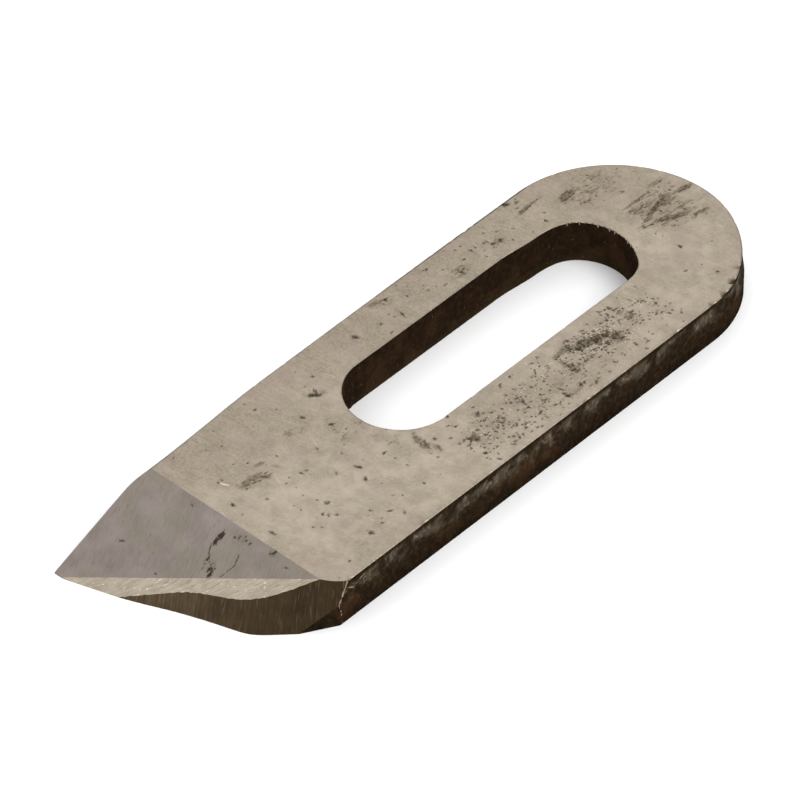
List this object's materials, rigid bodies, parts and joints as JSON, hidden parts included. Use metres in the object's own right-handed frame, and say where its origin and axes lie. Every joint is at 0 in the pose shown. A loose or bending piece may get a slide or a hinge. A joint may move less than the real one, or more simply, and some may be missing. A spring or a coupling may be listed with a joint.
{
  "type": "plane iron",
  "caption": "Skewed, pointed iron of a side rebate plane: a flat steel bar with a rounded end and a long clamp slot.",
  "frame": {"origin": "centre of the iron's outline box, on the flat back that it lies on", "axes": "+X across the iron, from the edge that carries the point to the edge that carries the heel; +Y along it, from the point to the rounded end; +Z out of the flat back, through the thickness"},
  "size_m": [0.0162, 0.0502, 0.0031],
  "materials": {
    "tool_steel": "old ground tool steel: worn satin face with fine scratches, pits and rust stains, and a near-black patina on the edges"
  },
  "bodies": {
    "root": {"plane_iron": "tool_steel"}
  },
  "joints": []
}
